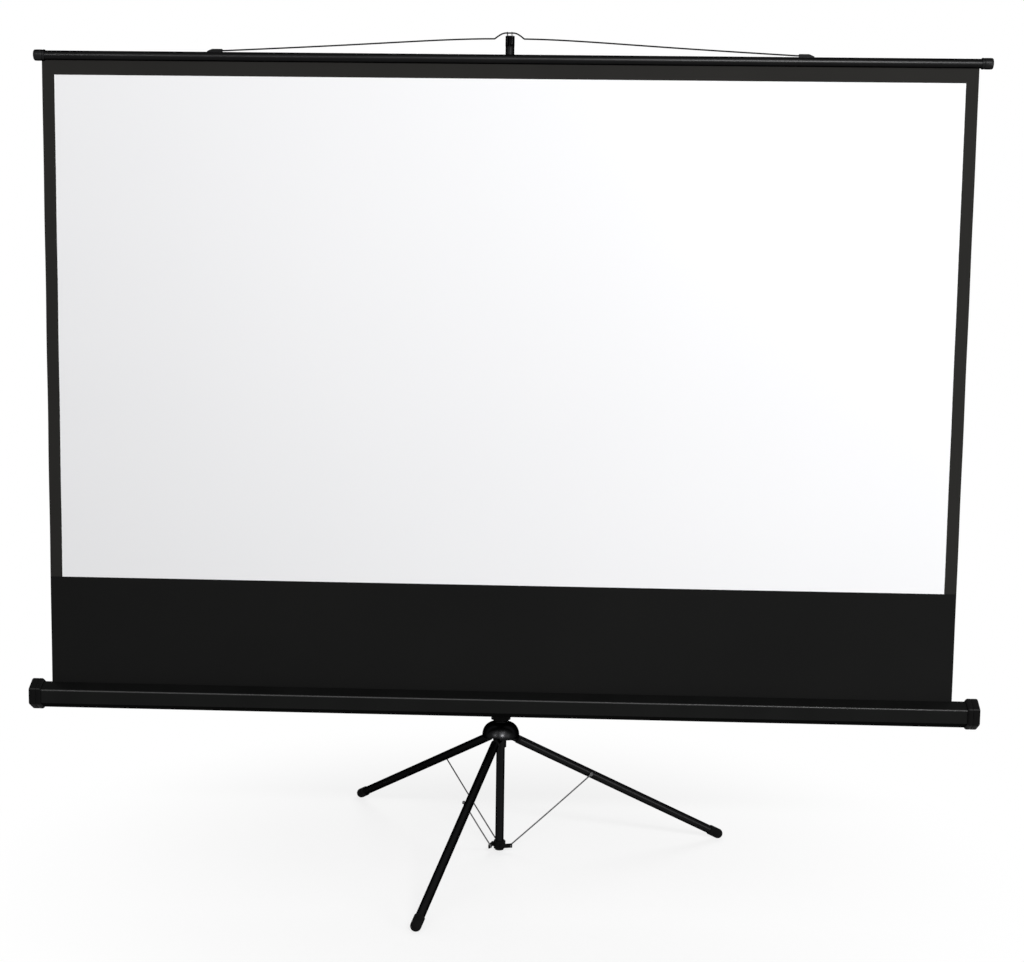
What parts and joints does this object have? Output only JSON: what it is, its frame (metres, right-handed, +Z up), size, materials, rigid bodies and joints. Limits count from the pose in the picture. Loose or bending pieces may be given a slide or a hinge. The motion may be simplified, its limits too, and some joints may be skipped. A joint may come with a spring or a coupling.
{
  "type": "portable projection screen",
  "caption": "Pull-up projection screen on a folding tripod: white sheet with black borders, hung by a wire bail from a telescopic mast above a six-sided roller case.",
  "frame": {"origin": "on the floor, at the centre of the overall width and depth", "axes": "+X to the viewer's right, +Y away from the audience, +Z up; the column stands on the plane X = 0, behind the sheet"},
  "size_m": [2.392, 1.0228, 2.066],
  "materials": {
    "black_paint": "satin black powder coat",
    "black_aluminium": "satin black coat on aluminium",
    "plain_aluminium": "plain mill finish",
    "black_plastic": "moulded, satin",
    "gloss_black": "semi-gloss moulded",
    "rubber": "matt",
    "steel": "bright drawn wire",
    "dark_steel": "dark grey coated wire and sheet",
    "black_cloth": "black coated cloth, matt",
    "white_surface": "matt white projection coating"
  },
  "bodies": {
    "rod": {"centre_rod": "black_paint", "rod_guide": "black_plastic", "rod_plug": "rubber", "brace_collar": "black_plastic", "collar_pin_1": "steel", "collar_pin_2": "steel", "collar_pin_3": "steel"},
    "column": {"column_tube": "black_paint", "column_collar": "black_plastic", "hub_spider": "black_paint", "hub_dome": "gloss_black", "leg_pin_1": "steel", "leg_pin_2": "steel", "leg_pin_3": "steel"},
    "mid": {"mid_tube": "black_paint", "mid_guide": "black_plastic", "mid_collar": "black_plastic"},
    "mast": {"mast_tube": "black_paint", "mast_guide": "black_plastic", "mast_hook": "dark_steel"},
    "mid_knob": {"mid_lock_knob": "black_plastic"},
    "mast_knob": {"mast_lock_knob": "black_plastic"},
    "slider_knob": {"slider_lock_knob": "black_plastic"},
    "slider": {"slider_sleeve": "black_plastic", "pivot_stud": "steel", "pivot_nut": "steel"},
    "case": {"case_shell": "black_aluminium", "case_mount_plate": "black_paint", "end_cap_left": "black_plastic", "end_cap_right": "black_plastic", "roller_shaft": "steel", "roller_spring": "steel"},
    "roller": {"roller_tube": "plain_aluminium", "roller_plug_left": "black_plastic", "roller_plug_right": "black_plastic", "fabric_roll": "black_cloth"},
    "rail": {"top_rail": "black_aluminium", "rail_cap_left": "black_plastic", "rail_cap_right": "black_plastic", "bail_clip_left": "dark_steel", "bail_clip_right": "dark_steel", "screen_sheet": "black_cloth", "viewing_surface": "white_surface"},
    "bail": {"bail_wire": "dark_steel"},
    "leg_1": {"leg_tube_1": "black_paint", "leg_end_1": "black_plastic", "leg_foot_1": "rubber"},
    "brace_1": {"brace_1": "steel", "brace_rivet_1": "steel"},
    "leg_2": {"leg_tube_2": "black_paint", "leg_end_2": "black_plastic", "leg_foot_2": "rubber"},
    "brace_2": {"brace_2": "steel", "brace_rivet_2": "steel"},
    "leg_3": {"leg_tube_3": "black_paint", "leg_end_3": "black_plastic", "leg_foot_3": "rubber"},
    "brace_3": {"brace_3": "steel", "brace_rivet_3": "steel"}
  },
  "joints": [
    {"name": "stand_fold", "type": "slide", "parent": "rod", "child": "column", "axis": [0, 0, 1], "range_m": [0, 0.22871]},
    {"name": "leg_1_fold", "type": "hinge", "parent": "column", "child": "leg_1", "pos_m": [0.02523, 0.07803, 0.30218], "axis": [-0.2419, 0.9703, 0], "range_deg": [0, 62.91]},
    {"name": "brace_1_swing", "type": "hinge", "parent": "rod", "child": "brace_1", "pos_m": [0.02862, 0.06444, 0.016], "axis": [-0.2419, 0.9703, 0], "range_deg": [-50.06, 0]},
    {"name": "leg_2_fold", "type": "hinge", "parent": "column", "child": "leg_2", "pos_m": [-0.01806, 0.09044, 0.30218], "axis": [-0.7193, -0.6947, 0], "range_deg": [0, 62.91]},
    {"name": "brace_2_swing", "type": "hinge", "parent": "rod", "child": "brace_2", "pos_m": [-0.00799, 0.10017, 0.016], "axis": [-0.7193, -0.6947, 0], "range_deg": [-50.06, 0]},
    {"name": "leg_3_fold", "type": "hinge", "parent": "column", "child": "leg_3", "pos_m": [-0.00717, 0.04675, 0.30218], "axis": [0.9613, -0.2756, 0], "range_deg": [0, 62.91]},
    {"name": "brace_3_swing", "type": "hinge", "parent": "rod", "child": "brace_3", "pos_m": [-0.02062, 0.0506, 0.016], "axis": [0.9613, -0.2756, 0], "range_deg": [-50.06, 0]},
    {"name": "case_lift", "type": "slide", "parent": "column", "child": "slider", "axis": [0, 0, 1], "range_m": [0, 0.25]},
    {"name": "mid_slide", "type": "slide", "parent": "column", "child": "mid", "axis": [0, 0, 1], "range_m": [0, 0.25]},
    {"name": "mast_slide", "type": "slide", "parent": "mid", "child": "mast", "axis": [0, 0, 1], "range_m": [-0.58, 0]},
    {"name": "case_swivel", "type": "hinge", "parent": "slider", "child": "case", "pos_m": [0, 0.01174, 0.40098], "axis": [0, 1, 0], "range_deg": [-15, 15]},
    {"name": "screen_pull", "type": "slide", "parent": "case", "child": "rail", "axis": [0, 0, 1], "range_m": [-1.54, 0], "deforming": ["screen_sheet", "viewing_surface"]},
    {"name": "roller_spin", "type": "hinge", "parent": "case", "child": "roller", "pos_m": [0, 0.00774, 0.40098], "axis": [1, 0, 0], "range_deg": [-1899.9, 0]},
    {"name": "bail_swing", "type": "hinge", "parent": "rail", "child": "bail", "pos_m": [0, 0.01174, 2.01148], "axis": [1, 0, 0], "range_deg": [0, 120]},
    {"name": "mid_knob_turn", "type": "hinge", "parent": "column", "child": "mid_knob", "pos_m": [0, 0.08674, 1.03218], "axis": [0, 1, 0], "range_deg": [0, 180]},
    {"name": "mast_knob_turn", "type": "hinge", "parent": "mid", "child": "mast_knob", "pos_m": [0, 0.08674, 1.412], "axis": [0, 1, 0], "range_deg": [0, 180]},
    {"name": "slider_knob_turn", "type": "hinge", "parent": "slider", "child": "slider_knob", "pos_m": [0, 0.08674, 0.40098], "axis": [0, 1, 0], "range_deg": [0, 180]}
  ],
  "couplings": [
    {"joint": "leg_1_fold", "follows": "stand_fold", "rad_per_m": 4.8},
    {"joint": "brace_1_swing", "follows": "stand_fold", "rad_per_m": -3.8193},
    {"joint": "leg_2_fold", "follows": "stand_fold", "rad_per_m": 4.8},
    {"joint": "brace_2_swing", "follows": "stand_fold", "rad_per_m": -3.8193},
    {"joint": "leg_3_fold", "follows": "stand_fold", "rad_per_m": 4.8},
    {"joint": "brace_3_swing", "follows": "stand_fold", "rad_per_m": -3.8193},
    {"joint": "mid_slide", "follows": "case_lift", "ratio": 1},
    {"joint": "screen_pull", "follows": "mast_slide", "ratio": 1},
    {"joint": "roller_spin", "follows": "mast_slide", "rad_per_m": 57.143}
  ]
}
